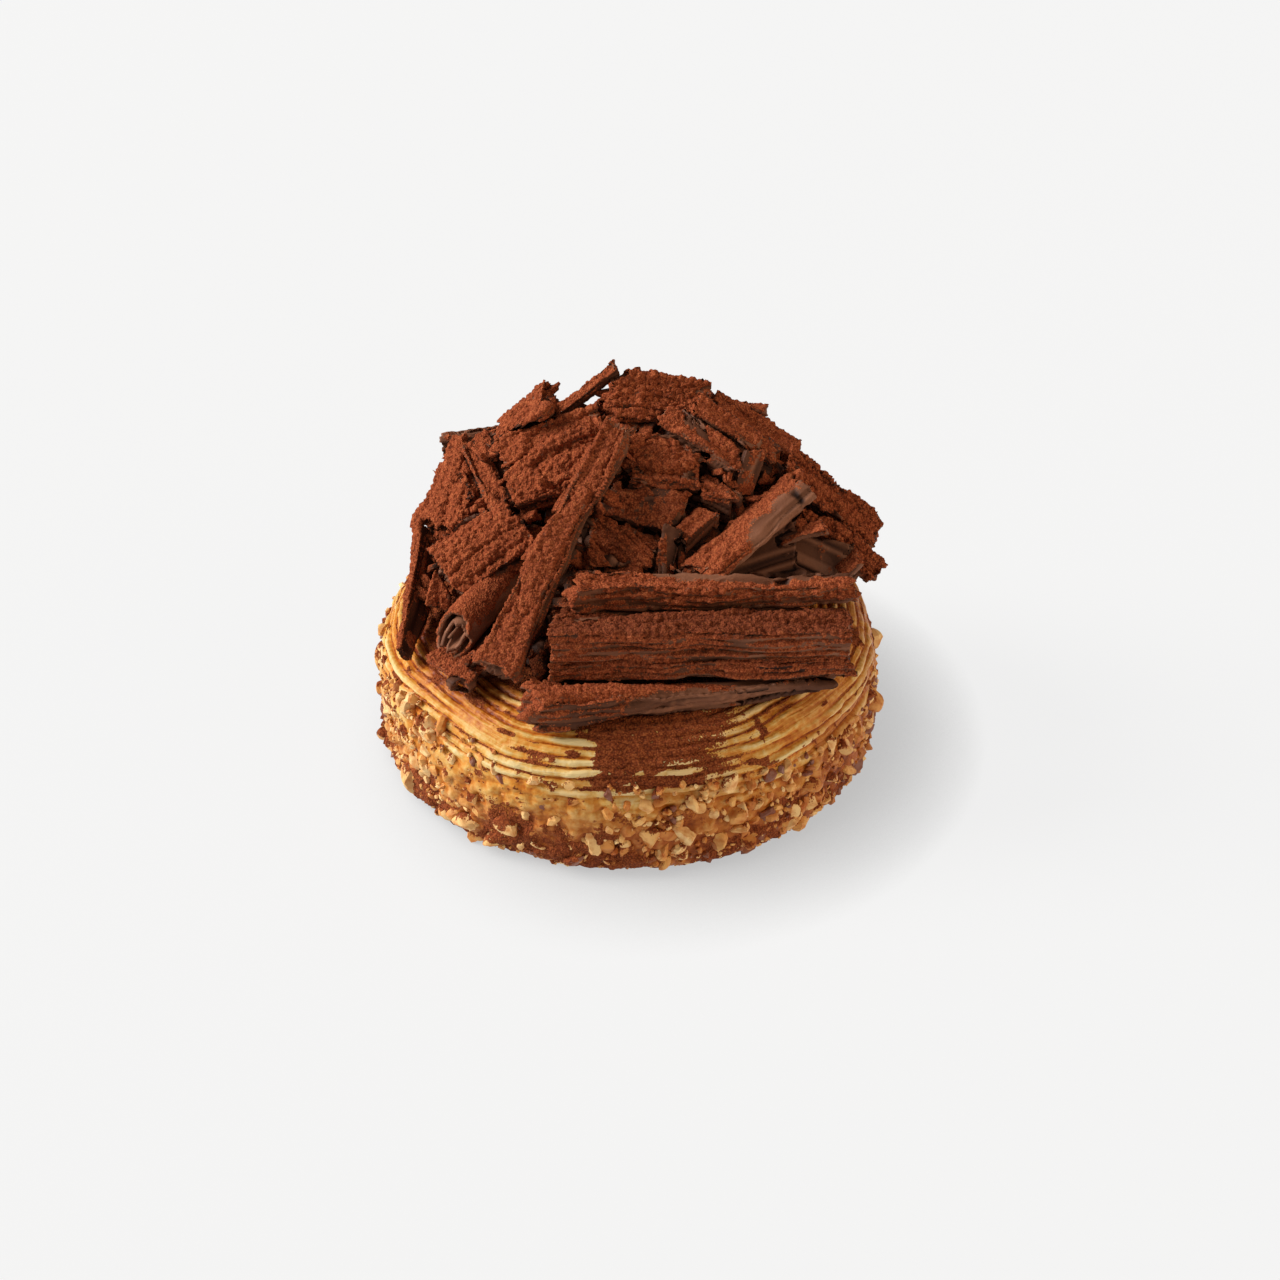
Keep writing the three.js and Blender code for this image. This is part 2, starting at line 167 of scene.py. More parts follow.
# Strips where the cocoa was rubbed off: the strip's two ends and its half width, in millimetres
RUBBED = {
    "log_front_high": ((7, -16.5, 50.5), (45, -15.5, 49), 2.8),
    "log_front_low": ((2, -40, 33), (40, -33, 33), 2.6),
    "curl_right": ((27.5, -7.5, 49.5), (38, 0.5, 54.5), 5.0),
    "slab_centre_right": ((12, 2, 52), (24, -2, 52), 2.2),
    "rod_right_front": ((12, 9, 58), (24, 2, 54), 2.6),
    "rod_right_middle": ((18, 12, 60), (28, 7, 55), 2.2),
}

# How deeply the ends, edges and furrows of a piece are torn: 1 where not given
TORN = {
    "log_front_high": 1.6, "log_front_low": 1.5,
    "plank_long": 0.5, "slab_top": 1.6, "slab_top_left": 1.3, "wedge_left": 1.6, "plate_left_back": 1.8,
    "slab_centre_top": 1.4, "slab_centre": 0.4, "block_centre": 1.5,
    "slab_right": 1.3, "slab_right_front": 1.3, "curl_right": 0.5,
    "sheet_right": 1.8, "sheet_right_low": 1.7,
    "curl_left": 0.5, "slab_left": 0.6,
}

# How deep the lengthwise splits of a piece are, 1 for the full depth. Where not given, it follows from TORN
SPLIT = {
    "slab_top": 0.3, "slab_top_left": 0.1, "slab_centre_top": 0.2,
    "slab_right": 0.75, "slab_right_front": 0.75,
}

# Camera, as the photograph was taken
CAMERA_ELEVATION = 35.0
CAMERA_DISTANCE = 0.6
CAMERA_RIGHT = 0.0024
CAMERA_UP = 0.0173
CAMERA_LENS = 82.0
SENSOR_WIDTH = 36.0

# Lights: the way to each sun, its strength, its spread in degrees and its colour
KEY_SUN = ((-0.84, 0.08, 0.52), 4.3, 30, (1.0, 0.99, 0.97))
FILL_SUN = ((0.93, -0.3, 0.2), 1.5, 60, (1.0, 0.78, 0.5))
SURROUND_STRENGTH = 0.21

# Floor: the way to the bright side that the object hides from it, how far the painted shadow that this gives
# reaches in millimetres, and the least and greatest glow
BRIGHT_SIDE = (-0.8, 0.0, 0.6)
SHADE_REACH = 24
FLOOR_GLOW = (0.5, 0.838)

# Cocoa, from its pits, darkened as painted shade, to its crests: redder on the bark, duller on the pastry and
# the nuts
COCOA_ON_BARK = ("#73341c", "#984a2b", "#b4643c")
COCOA_ON_PASTRY = ("#5e2610", "#86401e", "#a2582e")
POWDER_ROUGHNESS = 0.95

# Below this tone a nut keeps its skin
SKIN_TONE = 0.11

# Settings of a node that mixes two colours
COLOUR_MIX = {"data_type": "RGBA"}


# Numbers: smooth steps, repeatable noise and seeded draws

def smooth_step(low, high, value):
    """0 below low, 1 above high, and a smooth rise between. With low above high it falls instead."""
    share = np.clip((value - low) / (high - low), 0, 1)
    return share * share * (3 - 2 * share)


def lattice_values(cells, seed):
    """A repeatable number between -1 and 1 for each whole-numbered cell."""
    mixed = cells[:, 0] * 73856093 ^ cells[:, 1] * 19349663 ^ cells[:, 2] * 83492791 ^ seed * 40503
    mixed = (mixed & 0x7FFFFFFF) * 48271 % 2147483647
    mixed = (mixed ^ (mixed >> 15)) * 69621 % 2147483647
    return mixed / 1073741823.5 - 1


def columns(*values):
    """Rows of three numbers, for the noise, from three columns."""
    return np.stack(np.broadcast_arrays(*values), axis=1)


def noise(points, seed):
    """Smooth noise between -1 and 1, with one bump to a unit."""
    base = np.floor(points)
    part = points - base
    part = part * part * (3 - 2 * part)
    base = base.astype(np.int64)
    total = np.zeros(len(points))
    for corner in np.ndindex(2, 2, 2):
        weight = np.prod(np.where(corner, part, 1 - part), axis=1)
        total += weight * lattice_values(base + np.array(corner), seed)
    return total


def granules(points, seed):
    """Rounded grains, 1 at a grain's middle and falling to 0 between grains, one grain to a unit."""
    base = np.floor(points).astype(np.int64)
    nearest = np.full(len(points), 9.0)
    for corner in np.ndindex(3, 3, 3):
        cell = base + np.array(corner) - 1
        astray = np.stack([lattice_values(cell, seed + axis) for axis in range(3)], axis=1)
        middle = cell + 0.5 + 0.4 * astray
        nearest = np.minimum(nearest, ((points - middle) ** 2).sum(axis=1))
    return np.clip(1 - nearest / 0.6, 0, 1)


def make_random(seed):
    """Seeded numbers between 0 and 1, drawn one after another."""
    state = seed

    def draw():
        nonlocal state
        state = (state + 0x6D2B79F5) & 0xFFFFFFFF
        mixed = (state ^ (state >> 15)) * (state | 1) & 0xFFFFFFFF
        mixed ^= (mixed + ((mixed ^ (mixed >> 7)) * (mixed | 61) & 0xFFFFFFFF)) & 0xFFFFFFFF
        return (mixed ^ (mixed >> 14)) / 4294967296

    return draw


def name_seed(name):
    """A whole number of its own for each piece, from the letters of its name."""
    return sum((place + 3) * ord(letter) for place, letter in enumerate(name))


# Meshes: making objects, reading and setting their vertices

def new_object(name, data):
    """An object at the origin that holds a mesh, a light or a camera and shows in the scene."""
    obj = bpy.data.objects.new(name, data)
    bpy.context.scene.collection.objects.link(obj)
    return obj


def mesh_of(name, shape):
    """Turns a bmesh into a mesh and frees it."""
    mesh = bpy.data.meshes.new(name)
    shape.to_mesh(mesh)
    shape.free()
    return mesh


def positions(mesh):
    """Vertex places in millimetres."""
    flat = np.empty(len(mesh.vertices) * 3)
    mesh.vertices.foreach_get("co", flat)
    return flat.reshape(-1, 3) / MM


def normals(mesh):
    """Vertex normals."""
    flat = np.empty(len(mesh.vertices) * 3)
    mesh.vertex_normals.foreach_get("vector", flat)
    return flat.reshape(-1, 3)


def set_positions(mesh, points):
    """Moves the vertices to places given in millimetres."""
    mesh.vertices.foreach_set("co", (points * MM).ravel())
    mesh.update()


def move_corners(shape, places):
    """Moves the vertices of a bmesh to places given in metres."""
    for vertex, spot in zip(shape.verts, places):
        vertex.co = spot


def set_attributes(mesh, **values):
    """Keeps a number for each vertex under each name, for a material to read."""
    for name, numbers in values.items():
        layer = mesh.attributes.new(name, "FLOAT", "POINT")
        layer.data.foreach_set("value", numbers.astype(np.float32))


def finish_piece(name, mesh, material, slot, *nodes):
    """Makes a piece of a mesh: its material, its place on the body and the nodes that it stands for."""
    mesh.materials.clear()
    mesh.materials.append(material)
    mesh.shade_smooth()
    obj = new_object(name, mesh)
    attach(obj, "root")
    if nodes:
        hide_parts(*nodes)


def merged_copy(name):
    """A copy of a node's mesh with its shared corners joined."""
    shape = bmesh.new()
    shape.from_mesh(NODES[name].data)
    bmesh.ops.remove_doubles(shape, verts=shape.verts, dist=0.001 * MM)
    return mesh_of(name + "_solid", shape)


def fine_copy(name, voxel):
    """A node's solid as an even, fine mesh, with its sharp edges a little worn."""
    solid = new_object(name + "_solid", merged_copy(name))
    remesh = solid.modifiers.new("even mesh", "REMESH")
    remesh.mode = "VOXEL"
    remesh.voxel_size = voxel * MM
    wear = solid.modifiers.new("worn edges", "SMOOTH")
    wear.factor = 0.5
    wear.iterations = 2
    evaluated = solid.evaluated_get(bpy.context.evaluated_depsgraph_get())
    mesh = bpy.data.meshes.new_from_object(evaluated)
    bpy.data.objects.remove(solid)
    return mesh


def grain_axes(name):
    """A piece's own directions: along its length, across it, and through its layers."""
    mesh = NODES[name].data
    areas = np.array([face.area for face in mesh.polygons])
    facing = np.array([face.normal for face in mesh.polygons])
    spread = (facing * areas[:, None]).T @ facing
    return np.linalg.eigh(spread)[1].T


def sky_tree():
    """All the solids as one tree, to ask what lies above a point, and each face's node."""
    corners = []
    faces = []
    owners = []
    for name, node in NODES.items():
        first = len(corners)
        corners.extend(vertex.co.copy() for vertex in node.data.vertices)
        faces.extend([first + index for index in face.vertices] for face in node.data.polygons)
        owners.extend([name] * len(node.data.polygons))
    return BVHTree.FromPolygons(corners, faces), owners


SKY_TREE, FACE_OWNERS = sky_tree()


def sky_share(points, facing):
    """The share of the falling dust that reaches each point, from 0 to 1. Where little reaches, the same
    share also places painted shade.
    """
    starts = (points + facing * 0.9) * MM
    rays = [Vector(ray).normalized() for ray in DUST_RAYS]
    share = np.zeros(len(points))
    for index, start in enumerate(starts):
        place = Vector(start)
        share[index] = sum(SKY_TREE.ray_cast(place, ray)[0] is None for ray in rays)
    return share / len(rays)


# Materials

def linear(hex_colour):
    """An sRGB hex colour as a linear colour with alpha."""
    parts = [int(hex_colour[i:i + 2], 16) / 255 for i in (1, 3, 5)]
    return [c / 12.92 if c <= 0.04045 else ((c + 0.055) / 1.055) ** 2.4 for c in parts] + [1.0]


def add_node(tree, kind, settings=None, links=None, stops=None):
    """Adds a node: its settings, then its inputs, each a value or another node's output."""
    node = tree.nodes.new(kind)
    for name, value in (settings or {}).items():
        setattr(node, name, value)
    for socket, source in (links or {}).items():
        if isinstance(source, bpy.types.NodeSocket):
            tree.links.new(source, node.inputs[socket])
        else:
            node.inputs[socket].default_value = source
    for index, (place, colour) in enumerate(stops or []):
        ramp = node.color_ramp.elements
        stop = ramp[index] if index < 2 else ramp.new(place)
        stop.position = place
        stop.color = linear(colour)
    return node


def new_material(name, **shader_values):
    """An empty material with one shader, and the values that hold all over its surface."""
    material = bpy.data.materials.new(name)
    material.use_nodes = True
    shader = material.node_tree.nodes["Principled BSDF"]
    for socket, value in shader_values.items():
        shader.inputs[socket.replace("_", " ")].default_value = value
    return material, material.node_tree, shader


def link_surface(tree, shader, colour, cover, bare_roughness, normal):
    """Links a surface's colour, its bumps, and its roughness, which under cocoa is that of dull powder."""
    roughness = add_node(tree, "ShaderNodeMapRange", None,
                         {"Value": cover, "To Min": bare_roughness, "To Max": POWDER_ROUGHNESS})
    sources = {"Base Color": colour, "Roughness": roughness.outputs["Result"], "Normal": normal}
    for socket, source in sources.items():
        tree.links.new(source, shader.inputs[socket])


def bark_material():
    """Flaked dark chocolate with a dusting of cocoa. Bare chocolate is a greyish brown with a low waxy
    sheen and layers of differing tone, with painted shade, near black, in the gaps between its layers, in its
    cracks and in the crevices of the heap. Cocoa is a dull, grainy red-brown powder, and on the tops of a
    few pieces it has painted shade, darker."""
    material, tree, shader = new_material("flaked dark chocolate with cocoa", IOR=1.45,
                                          Specular_IOR_Level=0.12)
    kept = [add_node(tree, "ShaderNodeAttribute", {"attribute_name": name}) for name in ("layer", "hollow")]
    layer, hollow = [node.outputs["Fac"] for node in kept]
    bare = add_node(tree, "ShaderNodeValToRGB", None, {"Fac": layer},
                    [(0.0, "#3a2118"), (1.0, "#946249"), (0.5, "#68402d")]).outputs["Color"]
    cover, grain, powder = cocoa_powder(tree, COCOA_ON_BARK)
    dusted = add_node(tree, "ShaderNodeMix", COLOUR_MIX, {0: cover, 6: bare, 7: powder}).outputs[2]
    # Painted shade: near-black brown mixed in where shade falls in gaps, cracks and crevices, and on the tops
    # of a few pieces.
    shaded = add_node(tree, "ShaderNodeMix", COLOUR_MIX, {0: hollow, 6: dusted, 7: linear("#1c0d08")})
    rough = add_node(tree, "ShaderNodeMapRange", None, {"Value": cover, "To Min": 0.25, "To Max": 1.0})
    bump = add_node(tree, "ShaderNodeBump", None,
                    {"Height": grain, "Strength": rough.outputs["Result"], "Distance": 0.24 * MM})
    link_surface(tree, shader, shaded.outputs[2], cover, 0.55, bump.outputs["Normal"])
    return material


def cocoa_powder(tree, colours):
    """Grainy powder: how far it covers, breaking into grains at its borders, its height, from fine
    grains and soft clumps, and its colour, with painted shade that darkens it in the pits between the
    grains. Real cocoa is too fine for its grains to show, so they are drawn coarser."""
    place = add_node(tree, "ShaderNodeTexCoord").outputs["Object"]
    fine = {"Vector": place, "Scale": 1 / (POWDER_GRAIN * MM), "Smoothness": 0.4}
    soft = {"Vector": place, "Scale": 1 / (POWDER_CLUMP * MM), "Detail": 3.0}
    grains = add_node(tree, "ShaderNodeTexVoronoi", {"feature": "SMOOTH_F1"}, fine).outputs["Distance"]
    clumps = add_node(tree, "ShaderNodeTexNoise", None, soft).outputs["Fac"]
    height = add_node(tree, "ShaderNodeMath", {"operation": "SUBTRACT"},
                      {0: clumps, 1: grains}).outputs["Value"]
    tone = add_node(tree, "ShaderNodeMapRange", None, {"Value": height, "From Min": -0.3, "From Max": 0.4})
    dark, middle, light = colours
    # Painted shade: the powder's colour is darkest in the pits between its grains.
    colour = add_node(tree, "ShaderNodeValToRGB", None, {"Fac": tone.outputs["Result"]},
                      [(0.0, dark), (1.0, light), (0.5, middle)]).outputs["Color"]
    cocoa = add_node(tree, "ShaderNodeAttribute", {"attribute_name": "cocoa"}).outputs["Fac"]
    grainy = add_node(tree, "ShaderNodeMath", {"operation": "MULTIPLY_ADD"}, {0: height, 1: 0.9, 2: cocoa})
    cover = add_node(tree, "ShaderNodeMapRange", {"interpolation_type": "SMOOTHSTEP"},
                     {"Value": grainy.outputs["Value"], "From Min": 0.4, "From Max": 0.65}).outputs["Result"]
    return cover, height, colour


def crust_material():
    """Baked laminated dough. Thin layer edges dry to a pale cream gold, the folds between them stay a
    glazed amber, and the foot of the wall bakes to a deeper brown. Cocoa lies on it as dull powder. Its
    tones also carry painted light, lighter on the left and at the front, and painted shade, browner and
    more amber, on the top where the heap shades it."""
    material, tree, shader = new_material("baked laminated dough", IOR=1.45, Specular_IOR_Level=0.18)
    names = ("crest", "bake_and_painted_light", "sheets", "ridged")
    kept = [add_node(tree, "ShaderNodeAttribute", {"attribute_name": name}) for name in names]
    crest, bake_and_painted_light, sheets, ridged = [node.outputs["Fac"] for node in kept]
    place = add_node(tree, "ShaderNodeTexCoord").outputs["Object"]
    spread = add_node(tree, "ShaderNodeVectorMath", {"operation": "SCALE"},
                      {0: place, "Scale": 1 / (LAYER_LINE * MM)})
    apart = add_node(tree, "ShaderNodeSeparateXYZ", None, {0: spread.outputs["Vector"]})
    along = add_node(tree, "ShaderNodeCombineXYZ", None,
                     {"X": apart.outputs["X"], "Y": apart.outputs["Y"], "Z": sheets}).outputs["Vector"]
    lines = add_node(tree, "ShaderNodeTexNoise", None,
                     {"Vector": along, "Scale": 1.0, "Detail": 2.0, "Roughness": 0.6}).outputs["Fac"]
    lined = add_node(tree, "ShaderNodeMapRange", None,
                     {"Value": lines, "From Min": 0.3, "From Max": 0.7, "To Min": -0.2, "To Max": 0.2})
    edge = add_node(tree, "ShaderNodeMath", {"operation": "MULTIPLY_ADD"},
                    {0: lined.outputs["Result"], 1: ridged, 2: crest}).outputs["Value"]
    speckle = add_node(tree, "ShaderNodeTexNoise", None,
                       {"Vector": place, "Scale": 1 / (DOUGH_SPECKLE * MM), "Detail": 3.0}).outputs["Fac"]
    mottled = add_node(tree, "ShaderNodeMapRange", None,
                       {"Value": speckle, "From Min": 0.3, "From Max": 0.7, "To Min": -0.16, "To Max": 0.16})
    edge = add_node(tree, "ShaderNodeMath", {"operation": "ADD"},
                    {0: edge, 1: mottled.outputs["Result"]}).outputs["Value"]
    pale = add_node(tree, "ShaderNodeValToRGB", None, {"Fac": edge},
                    [(0.0, "#7c2e04"), (1.0, "#e4c88e"), (0.25, "#b86217"), (0.5, "#d18a34"),
                     (0.75, "#dcae60")]).outputs["Color"]
    brown = add_node(tree, "ShaderNodeValToRGB", None, {"Fac": edge},
                     [(0.0, "#561c05"), (1.0, "#dc9a52"), (0.5, "#a6571f")]).outputs["Color"]
    dough = add_node(tree, "ShaderNodeMix", COLOUR_MIX, {0: bake_and_painted_light, 6: pale, 7: brown}).outputs[2]
    cover, grain, powder = cocoa_powder(tree, COCOA_ON_PASTRY)
    dusted = add_node(tree, "ShaderNodeMix", COLOUR_MIX, {0: cover, 6: dough, 7: powder}).outputs[2]
    normal = None
    for height, strength, depth in ((lines, ridged, 0.3), (speckle, 0.7, 0.35), (grain, cover, 0.25)):
        bump = {"Height": height, "Strength": strength, "Distance": depth * MM}
        if normal is not None:
            bump["Normal"] = normal
        normal = add_node(tree, "ShaderNodeBump", None, bump).outputs["Normal"]
    link_surface(tree, shader, dusted, cover, 0.4, normal)
    return material


def nut_material():
    """Toasted chopped nut. Cut faces are cream to tan and mottled, a few keep their mauve-brown skin, and
    cocoa lies on them as dull powder."""
    material, tree, shader = new_material("toasted chopped nut", IOR=1.46, Specular_IOR_Level=0.2)
    tone = add_node(tree, "ShaderNodeAttribute", {"attribute_name": "tone"}).outputs["Fac"]
    place = add_node(tree, "ShaderNodeTexCoord").outputs["Object"]
    flesh = add_node(tree, "ShaderNodeValToRGB", None, {"Fac": tone},
                     [(0.0, "#9a6f60"), (1.0, "#f6d294"), (0.08, "#8a5540"), (SKIN_TONE, "#c67c3a"),
                      (0.5, "#e2a65c")]).outputs["Color"]
    mottle = add_node(tree, "ShaderNodeTexNoise", None,
                      {"Vector": place, "Scale": 1 / (NUT_MOTTLE * MM), "Detail": 3.0}).outputs["Fac"]
    toasted = add_node(tree, "ShaderNodeValToRGB", None, {"Fac": mottle},
                       [(0.3, "#cf9052"), (0.58, "#ffffff")]).outputs["Color"]
    colour = add_node(tree, "ShaderNodeMix", COLOUR_MIX | {"blend_type": "MULTIPLY"},
                      {0: 0.8, 6: flesh, 7: toasted}).outputs[2]
    cover, _, powder = cocoa_powder(tree, COCOA_ON_PASTRY)
    dusted = add_node(tree, "ShaderNodeMix", COLOUR_MIX, {0: cover, 6: colour, 7: powder}).outputs[2]
    bump = add_node(tree, "ShaderNodeBump", None, {"Height": mottle, "Strength": 0.3, "Distance": 0.3 * MM})
    link_surface(tree, shader, dusted, cover, 0.5, bump.outputs["Normal"])
    return material


def floor_material():
    """A light table of matt white sheet. It glows, so that shadows on it stay faint, and less so close
    to the object on the side away from the key light, where the object hides the bright side: a painted
    shadow."""
    material, tree, shader = new_material("matt light table", Roughness=0.9, Base_Color=linear("#3c3c3b"),
                                          Emission_Color=linear("#ffffff"))
    bright_side = add_node(tree, "ShaderNodeCombineXYZ", None, dict(zip("XYZ", BRIGHT_SIDE)))
    open_share = add_node(tree, "ShaderNodeAmbientOcclusion", {"samples": 8},
                          {"Distance": SHADE_REACH * MM, "Normal": bright_side.outputs["Vector"]})
    least, greatest = FLOOR_GLOW
    # Painted shadow: the floor glows less close to the object on the side away from the key light.
    glow = add_node(tree, "ShaderNodeMapRange", None,
                    {"Value": open_share.outputs["AO"], "From Min": 0.4, "To Min": least, "To Max": greatest})
    tree.links.new(glow.outputs["Result"], shader.inputs["Emission Strength"])
    return material


# Bark

def flaky_shape(points, facing, axes, seed, torn, split_depth):
    """Moves the points of a plain piece into broken layers: ledges and gaps on its sides, splintered
    ends, and grooves, splits, cracks and lost flakes on its broad faces. Also gives each point's layer
    tone, its painted shade, darkest in the gaps between its layers and in its cracks, where shade falls,
    and how far it lies in a seam that is too narrow for cocoa. What divides a place in the noise is the
    length of a bump in millimetres."""
    middle = points.mean(axis=0)
    local = (points - middle) @ axes.T
    turned = facing @ axes.T
    along, across, through = local.T
    depth = through / LAYER_PITCH + 0.5 * noise(columns(along / 19, across / 9, 0.5), seed)
    layer = np.floor(depth)
    within = np.abs(depth - layer - 0.5) * 2
    slim = np.clip(np.ptp(through) / 6, 0.25, 1)
    edge = np.hypot(turned[:, 0], turned[:, 1])
    side = smooth_step(0.35, 0.8, edge)
    end = smooth_step(0.4, 0.9, np.abs(turned[:, 0]))
    broad = smooth_step(0.45, 0.85, np.abs(turned[:, 2]))
    rim = 4 * turned[:, 2] ** 2 * (1 - turned[:, 2] ** 2)
    reach = noise(columns(along / 6.5, across / 1.5, layer * 5.37), seed + 1)
    opening = 0.6 + 0.5 * noise(columns(along / 8, layer * 3.1, 0.5), seed + 2)
    gap = smooth_step(0.7, 1.0, within) * np.clip(opening, 0, 1)
    bitten = np.clip(noise(local / 2.6, seed + 8) + 0.15, 0, 1)
    wobble = noise(local / 8, seed + 15)
    notch = noise(columns(along / 3.6, across / 3.6, layer * 2.3), seed + 16)
    notch = 0.6 * notch + 0.7 * noise(columns(along / 1.2, across / 1.2, layer * 2.3), seed + 17)
    notch = side * max(torn - 1, 0) * notch
    shift = side * (LEDGE * (reach - 0.3) - LAYER_GAP * gap + 0.75 * wobble)
    shift += end * torn * (RAGGED_END * (reach - 0.4) + 1.5 * wobble - 0.5)
    outward = columns(turned[:, 0], turned[:, 1], 0.0) / np.maximum(edge, 0.2)[:, None]
    groove = noise(local / (15, 0.95, 8), seed + 3)
    furrow = noise(local / (22, 2.6, 8), seed + 4)
    lost = smooth_step(0.2, 0.28, noise(local / (11, 3.2, 8), seed + 5))
    crack = smooth_step(0.1, 0.02, np.abs(noise(local / (24, 4.2, 9), seed + 6)))
    split = smooth_step(0.16, 0.03, np.abs(noise(local / (30, 1.7, 9), seed + 18)))
    flaked = 0.22 * groove + torn * (0.45 * furrow - 0.8 * crack) - 0.6 * lost - 1.1 * split_depth * split
    relief = broad * flaked - RIM_WEAR * rim * bitten
    swell = 0.2 + 0.45 * noise(local / (12, 6, 6), seed + 7)
    moved = local + slim * (outward * shift[:, None] + turned * (relief + swell)[:, None])
    moved += outward * notch[:, None]
    moved[:, 1] += 0.8 * noise(columns(along / 17, 0.5, 0.5), seed + 9)
    moved[:, 2] += 0.9 * noise(columns(along / 13, across / 13, 0.5), seed + 10)
    tone = 0.5 + 0.28 * lattice_values(columns(layer, layer, layer).astype(np.int64), seed) + 0.5 * groove
    seam = side * gap * (1 - 0.6 * end)
    # Painted shade: the gaps between layers and the cracks are darkened where shade falls.
    hollow = np.clip(seam + broad * crack, 0, 1)
    return moved @ axes + middle, tone, hollow, np.clip(seam + 0.6 * broad * split_depth * split, 0, 1)


def dust_cover(points, facing, sky, kept, seed):
    """Where cocoa settled on a piece: on what faces up, where nothing lies over it."""
    lean = facing @ DUST_FROM
    patch = 0.28 * noise(points / 3.2, seed + 11) + 0.2 * noise(points / 0.9, seed + 12)
    clinging = max(kept - 1, 0)
    settled = smooth_step(0.0, 0.4, lean + patch + clinging) * smooth_step(0.1, 0.5, sky + 0.4 * patch)
    return settled * smooth_step(0.35, 0.65, kept + 0.9 * patch)


def rubbed_off(points, start, end, width):
    """0 along a strip where the cocoa was rubbed off and 1 away from it, with a rough border."""
    start = np.array(start)
    line = np.array(end) - start
    share = np.clip((points - start) @ line / (line @ line), 0, 1)
    away = np.linalg.norm(points - start - np.outer(share, line), axis=1)
    away = away + 0.9 * noise(points / 2, 51) + 0.7 * noise(points / (9, 1.2, 1.2), 52)
    return smooth_step(0.8 * width, 1.2 * width, away)


def make_bark_piece(name, material):
    """One piece of flaky bark over its solid."""
    seed = name_seed(name)
    mesh = fine_copy(name, BARK_VOXEL)
    points = positions(mesh)
    facing = normals(mesh)
    sky = sky_share(points, facing)
    torn = TORN.get(name, 1.0)
    split_depth = SPLIT.get(name, np.clip(torn - 1, 0, 1))
    shaped, tone, hollow, seam = flaky_shape(points, facing, grain_axes(name), seed, torn, split_depth)
    set_positions(mesh, shaped)
    facing = normals(mesh)
    kept = DUST_KEPT.get(name, 1.0)
    cocoa = dust_cover(shaped, facing, sky, kept, seed)
    if name in RUBBED:
        cocoa = cocoa * rubbed_off(shaped, *RUBBED[name])
    cocoa = cocoa * (1 - 0.7 * seam)
    clumps = 0.4 * granules(shaped / GRANULE, seed) + 0.24 * granules(shaped / 1.6, seed + 13)
    clumps = (clumps + 0.2 * noise(shaped / 2.9, seed + 14) - 0.2) * (1 + 2 * max(kept - 1, 0))
    set_positions(mesh, shaped + facing * (cocoa * clumps)[:, None])
    # Painted shade: the upper faces of a few pieces are darkened as the heap shades them.
    painted_top_shade = PAINTED_SHADE_ON_TOPS.get(name, 0.0) * smooth_step(0.2, 0.7, facing[:, 2])
    set_attributes(mesh, cocoa=cocoa, layer=tone, hollow=hollow * (1 - cocoa) + painted_top_shade * cocoa)
    finish_piece("bark_" + name, mesh, material, "bark", name)


def make_heap_core(material):
    """The mound of broken bark that shows in the gaps between the large pieces."""
    seed = name_seed("heap_core")
    mesh = fine_copy("heap_core", CORE_VOXEL)
    points = positions(mesh)
    facing = normals(mesh)
    chunks = 1.5 * granules(points / (5.5, 4.0, 3.0), seed) + 0.5 * granules(points / 1.7, seed + 5)
    raised = points + facing * ((chunks - 1.0) * smooth_step(31.5, 33, points[:, 2]))[:, None]
    set_positions(mesh, raised)
    sky = sky_share(points, facing)
    # Painted shade: the pits between chunks, and the places deep in the heap that little reaches, are
    # darkened.
    shade_in_gaps = np.maximum(smooth_step(0.9, 0.4, chunks), smooth_step(0.4, 0.1, sky))
    tone = 0.35 + 0.3 * noise(points / 2.2, seed)
    set_attributes(mesh, cocoa=smooth_step(0.0, 0.2, sky), layer=tone, hollow=0.6 * shade_in_gaps)
    finish_piece("bark_rubble", mesh, material, "bark", "heap_core")


def quill_axes():
    """The rolled sheet's length and its own directions: along it, to its side and up."""
    axis = QUILL_END - QUILL_MOUTH
    length = np.linalg.norm(axis)
    axis = axis / length
    aside = np.cross(axis, (0, 0, 1))
    aside = aside / np.linalg.norm(aside)
    return length, axis, aside, np.cross(aside, axis)


def wound_sheet(seed):
    """A thin sheet wound on itself, with a ragged mouth."""
    length, axis, aside, above = quill_axes()
    shape = bmesh.new()
    bmesh.ops.create_grid(shape, x_segments=70, y_segments=150, size=1.0)
    corners = np.array([vertex.co for vertex in shape.verts])
    share, wound = (corners[:, :2].T + 1) / 2
    turn = 2 * math.pi * QUILL_TURNS * wound + QUILL_START
    torn = 1.6 * noise(columns(turn / 0.5, wound * 3, 0.5), seed)
    torn += 0.8 * noise(columns(turn / 0.16, 0.5, 0.5), seed + 1)
    along = share * length - (1 - share) * (torn - QUILL_SLANT * np.sin(turn))
    radius = QUILL_RADII[0] + (QUILL_RADII[1] - QUILL_RADII[0]) * wound
    radius += 0.35 * noise(columns(along / 6, turn / 0.8, wound * 4), seed + 2)
    round_about = np.outer(np.cos(turn) * radius, aside) + np.outer(np.sin(turn) * radius, above)
    move_corners(shape, (QUILL_MOUTH + np.outer(along, axis) + round_about) * MM)
    bmesh.ops.recalc_face_normals(shape, faces=shape.faces)
    bmesh.ops.solidify(shape, geom=shape.faces[:], thickness=QUILL_SHEET * MM)
    bmesh.ops.recalc_face_normals(shape, faces=shape.faces)
    return mesh_of("bark_quill_left", shape)


